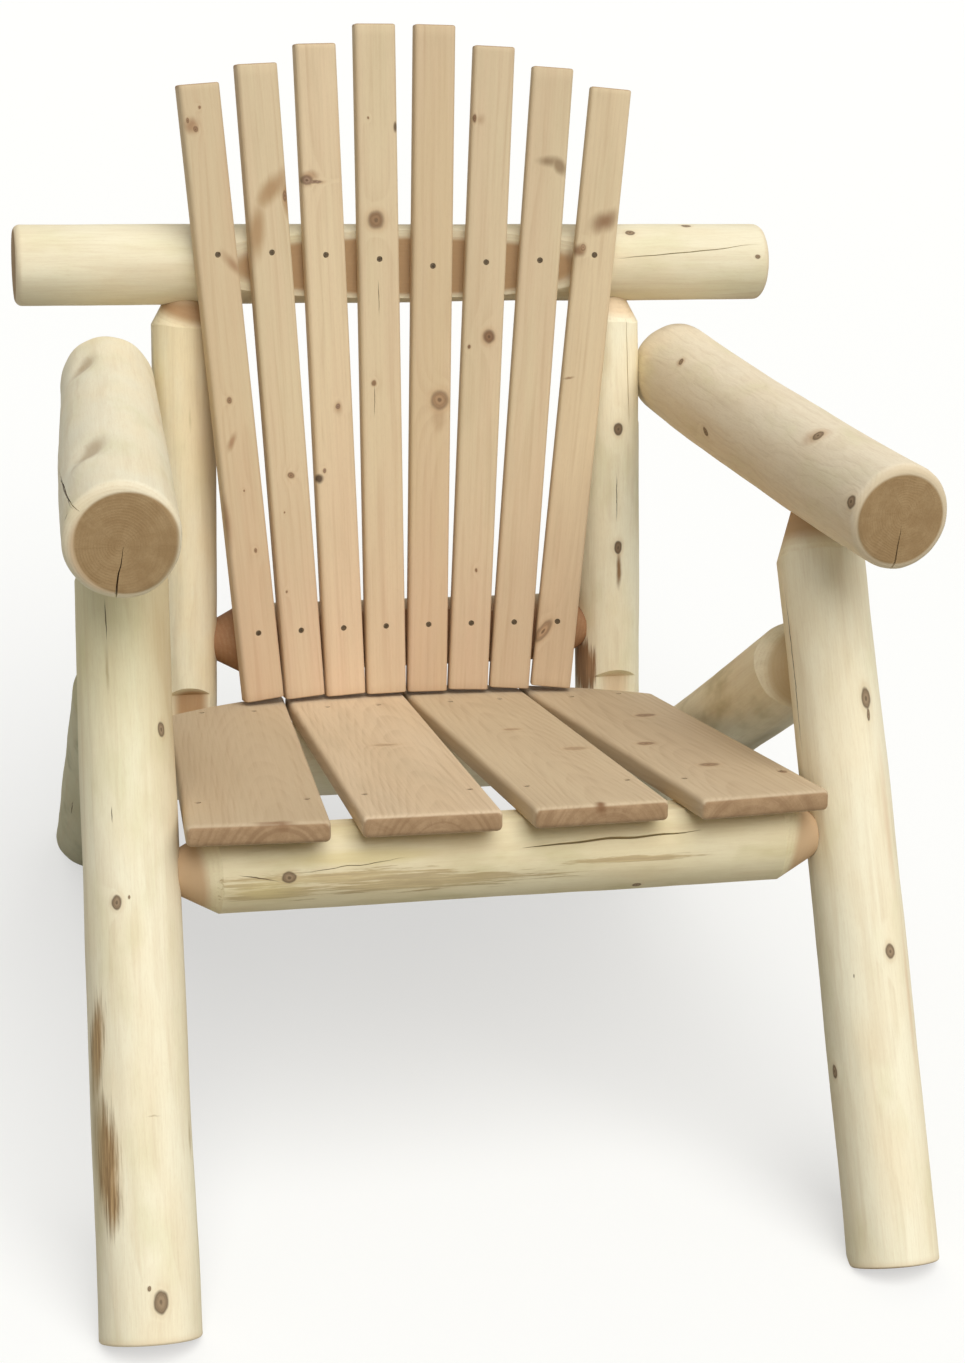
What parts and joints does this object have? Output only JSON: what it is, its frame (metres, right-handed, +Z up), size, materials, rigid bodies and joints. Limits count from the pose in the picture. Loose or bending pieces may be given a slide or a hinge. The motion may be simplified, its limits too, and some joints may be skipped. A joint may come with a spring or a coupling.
{
  "type": "log adirondack chair",
  "caption": "Low reclined garden chair of peeled logs with coned tenon joints, heavy log arms, a fanned slat back and a sloping plank seat.",
  "frame": {"origin": "on the floor, at the middle of the chair's footprint box", "axes": "+Z up, the chair faces -Y, +X to the right as seen from the front"},
  "size_m": [0.879, 1.0726, 1.054],
  "materials": {
    "peeled_log": "peeled and sanded softwood log",
    "slat_wood": "planed softwood",
    "board_wood": "planed softwood",
    "screw_steel": "dark coated",
    "lag_steel": "zinc plated"
  },
  "bodies": {
    "root": {"front_leg_left": "peeled_log", "front_leg_right": "peeled_log", "rear_leg_left": "peeled_log", "rear_leg_right": "peeled_log", "arm_left": "peeled_log", "arm_right": "peeled_log", "back_post_left": "peeled_log", "back_post_right": "peeled_log", "top_back_rail": "peeled_log", "lower_back_rail": "peeled_log", "front_seat_rail": "peeled_log", "rear_seat_rail": "peeled_log", "back_slat_1": "slat_wood", "back_slat_2": "slat_wood", "back_slat_3": "slat_wood", "back_slat_4": "slat_wood", "back_slat_5": "slat_wood", "back_slat_6": "slat_wood", "back_slat_7": "slat_wood", "back_slat_8": "slat_wood", "seat_board_1": "board_wood", "seat_board_2": "board_wood", "seat_board_3": "board_wood", "seat_board_4": "board_wood", "slat_screws_upper": "screw_steel", "slat_screws_lower": "screw_steel", "seat_screws_front": "screw_steel", "seat_screws_rear": "screw_steel", "arm_lag_screws": "lag_steel", "post_lag_screws": "lag_steel", "lag_washers": "lag_steel"}
  },
  "joints": []
}
